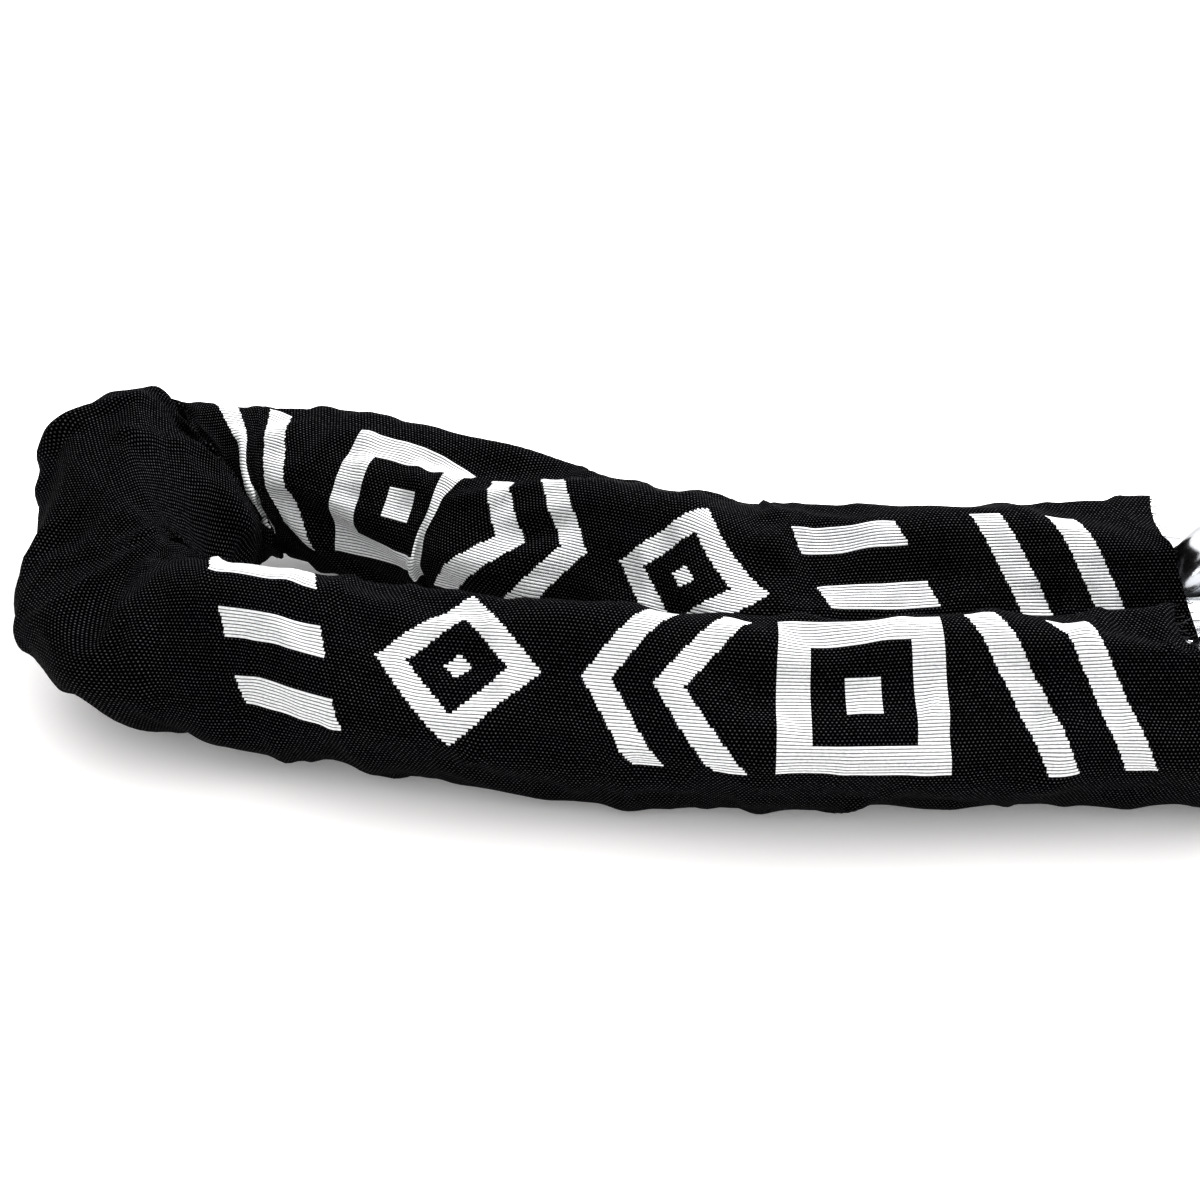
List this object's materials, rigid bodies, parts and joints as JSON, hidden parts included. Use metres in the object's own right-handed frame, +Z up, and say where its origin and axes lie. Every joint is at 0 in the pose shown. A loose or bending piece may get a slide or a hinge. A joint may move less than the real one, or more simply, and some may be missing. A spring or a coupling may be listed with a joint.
{
  "type": "chain lock",
  "caption": "Hardened round-wire chain in a black woven sleeve, folded into a U, with a padlock hooked through its back end link.",
  "frame": {"origin": "bottom centre of the whole lock's box, on the surface it lies on", "axes": "+X along the strands towards the padlock, +Y towards the back strand, +Z up"},
  "size_m": [0.3874, 0.1264, 0.0368],
  "materials": {
    "link_zinc": "bright zinc plate on a hardened link, fine scuffs",
    "sleeve_weave": "charcoal woven nylon with a white woven pattern",
    "shackle_chrome": "hard chrome",
    "block_paint": "black powder coat",
    "jacket_rubber": "moulded black rubber",
    "nickel": "nickel plate",
    "brass": "machined brass",
    "bow_plastic": "moulded black plastic"
  },
  "bodies": {
    "apex": {"link_apex": "link_zinc", "sleeve_front_1": "sleeve_weave", "sleeve_back_1": "sleeve_weave"},
    "front_1": {"link_front_1": "link_zinc", "sleeve_front_2": "sleeve_weave"},
    "front_2": {"link_front_2": "link_zinc", "sleeve_front_3": "sleeve_weave"},
    "front_3": {"link_front_3": "link_zinc", "sleeve_front_4": "sleeve_weave"},
    "front_4": {"link_front_4": "link_zinc", "sleeve_front_5": "sleeve_weave"},
    "front_5": {"link_front_5": "link_zinc", "sleeve_front_6": "sleeve_weave"},
    "front_6": {"link_front_6": "link_zinc", "sleeve_front_7": "sleeve_weave"},
    "front_7": {"link_front_7": "link_zinc", "sleeve_front_8": "sleeve_weave"},
    "front_8": {"link_front_8": "link_zinc"},
    "back_1": {"link_back_1": "link_zinc", "sleeve_back_2": "sleeve_weave"},
    "back_2": {"link_back_2": "link_zinc", "sleeve_back_3": "sleeve_weave"},
    "back_3": {"link_back_3": "link_zinc", "sleeve_back_4": "sleeve_weave"},
    "back_4": {"link_back_4": "link_zinc", "sleeve_back_5": "sleeve_weave"},
    "back_5": {"link_back_5": "link_zinc", "sleeve_back_6": "sleeve_weave"},
    "back_6": {"link_back_6": "link_zinc", "sleeve_back_7": "sleeve_weave"},
    "back_7": {"link_back_7": "link_zinc", "sleeve_back_8": "sleeve_weave"},
    "back_8": {"link_back_8": "link_zinc"},
    "shackle": {"shackle": "shackle_chrome"},
    "lock": {"lock_body": "block_paint", "jacket": "jacket_rubber", "guard_plate": "nickel", "plate_screw_1": "nickel", "plate_screw_2": "nickel", "shackle_spring": "nickel"},
    "core": {"barrel": "brass", "cam": "brass", "sidebar": "nickel", "disc_1": "brass", "disc_2": "brass", "disc_3": "brass", "disc_4": "brass", "disc_5": "brass", "disc_6": "brass"},
    "heel_ball": {"ball_heel": "shackle_chrome"},
    "toe_ball": {"ball_toe": "shackle_chrome"},
    "key": {"key_blade": "nickel", "key_bow": "bow_plastic"}
  },
  "joints": [
    {"name": "swing_front_1", "type": "hinge", "parent": "apex", "child": "front_1", "pos_m": [-0.17368, -0.00727, 0.0184], "axis": [0, 0, -1], "range_deg": [0, 60], "deforming": ["sleeve_front_1"]},
    {"name": "swing_front_2", "type": "hinge", "parent": "front_1", "child": "front_2", "pos_m": [-0.1642, -0.02186, 0.0184], "axis": [0, 0, -1], "range_deg": [0, 60], "deforming": ["sleeve_front_2"]},
    {"name": "lift_front_3", "type": "hinge", "parent": "front_2", "child": "front_3", "pos_m": [-0.13412, -0.02936, 0.0184], "axis": [-0.2419, -0.9703, 0], "range_deg": [0, 35], "deforming": ["sleeve_front_3"]},
    {"name": "swing_front_4", "type": "hinge", "parent": "front_3", "child": "front_4", "pos_m": [-0.10404, -0.03686, 0.0184], "axis": [0, 0, -1], "range_deg": [0, 40], "deforming": ["sleeve_front_4"]},
    {"name": "lift_front_5", "type": "hinge", "parent": "front_4", "child": "front_5", "pos_m": [-0.07343, -0.04171, 0.0184], "axis": [0.1564, 0.9877, 0], "range_deg": [-35, 0], "deforming": ["sleeve_front_5"]},
    {"name": "swing_front_6", "type": "hinge", "parent": "front_5", "child": "front_6", "pos_m": [-0.04262, -0.04475, 0.0184], "axis": [0, 0, 1], "range_deg": [-40, 0], "deforming": ["sleeve_front_6"]},
    {"name": "lift_front_7", "type": "hinge", "parent": "front_6", "child": "front_7", "pos_m": [-0.01166, -0.04313, 0.0184], "axis": [0.0523, -0.9986, 0], "range_deg": [0, 35], "deforming": ["sleeve_front_7"]},
    {"name": "swing_front_8", "type": "hinge", "parent": "front_7", "child": "front_8", "pos_m": [0.01932, -0.04242, 0.0184], "axis": [0, 0, -1], "range_deg": [-10, 35], "deforming": ["sleeve_front_8"]},
    {"name": "swing_back_1", "type": "hinge", "parent": "apex", "child": "back_1", "pos_m": [-0.16139, 0.0356, 0.0184], "axis": [0, 0, 1], "range_deg": [0, 60], "deforming": ["sleeve_back_1"]},
    {"name": "swing_back_2", "type": "hinge", "parent": "back_1", "child": "back_2", "pos_m": [-0.14561, 0.04296, 0.0184], "axis": [0, 0, 1], "range_deg": [0, 60], "deforming": ["sleeve_back_2"]},
    {"name": "lift_back_3", "type": "hinge", "parent": "back_2", "child": "back_3", "pos_m": [-0.11729, 0.03035, 0.0184], "axis": [-0.4067, -0.9135, 0], "range_deg": [0, 35], "deforming": ["sleeve_back_3"]},
    {"name": "swing_back_4", "type": "hinge", "parent": "back_3", "child": "back_4", "pos_m": [-0.09278, 0.0123, 0.0184], "axis": [0, 0, 1], "range_deg": [0, 40], "deforming": ["sleeve_back_4"]},
    {"name": "lift_back_5", "type": "hinge", "parent": "back_4", "child": "back_5", "pos_m": [-0.06469, -0.0008, 0.0184], "axis": [0.4226, 0.9063, 0], "range_deg": [-35, 0], "deforming": ["sleeve_back_5"]},
    {"name": "swing_back_6", "type": "hinge", "parent": "back_5", "child": "back_6", "pos_m": [-0.03496, -0.00655, 0.0184], "axis": [0, 0, -1], "range_deg": [-40, 0], "deforming": ["sleeve_back_6"]},
    {"name": "lift_back_7", "type": "hinge", "parent": "back_6", "child": "back_7", "pos_m": [-0.004, -0.00493, 0.0184], "axis": [0.0523, -0.9986, 0], "range_deg": [0, 35], "deforming": ["sleeve_back_7"]},
    {"name": "swing_back_8", "type": "hinge", "parent": "back_7", "child": "back_8", "pos_m": [0.02698, -0.00422, 0.0184], "axis": [0, 0, 1], "range_deg": [0, 35], "deforming": ["sleeve_back_8"]},
    {"name": "shackle_swing", "type": "hinge", "parent": "back_8", "child": "shackle", "pos_m": [0.05968, -0.00222, 0.0184], "axis": [0, 1, 0], "range_deg": [-90, 0]},
    {"name": "shackle_slide", "type": "slide", "parent": "shackle", "child": "lock", "axis": [1, 0, 0], "range_m": [0, 0.0185], "deforming": ["shackle_spring"]},
    {"name": "core_turn", "type": "hinge", "parent": "lock", "child": "core", "pos_m": [0.12968, -0.00222, 0.0184], "axis": [1, 0, 0], "range_deg": [-90, 0]},
    {"name": "heel_ball_slide", "type": "slide", "parent": "lock", "child": "heel_ball", "axis": [0, -1, 0], "range_m": [0, 0.0024]},
    {"name": "toe_ball_slide", "type": "slide", "parent": "lock", "child": "toe_ball", "axis": [0, 1, 0], "range_m": [0, 0.0024]},
    {"name": "key_slide", "type": "slide", "parent": "core", "child": "key", "axis": [-1, 0, 0], "range_m": [-0.05, 0]}
  ],
  "couplings": [
    {"joint": "heel_ball_slide", "follows": "core_turn", "m_per_rad": -0.00152},
    {"joint": "toe_ball_slide", "follows": "core_turn", "m_per_rad": -0.00152}
  ]
}
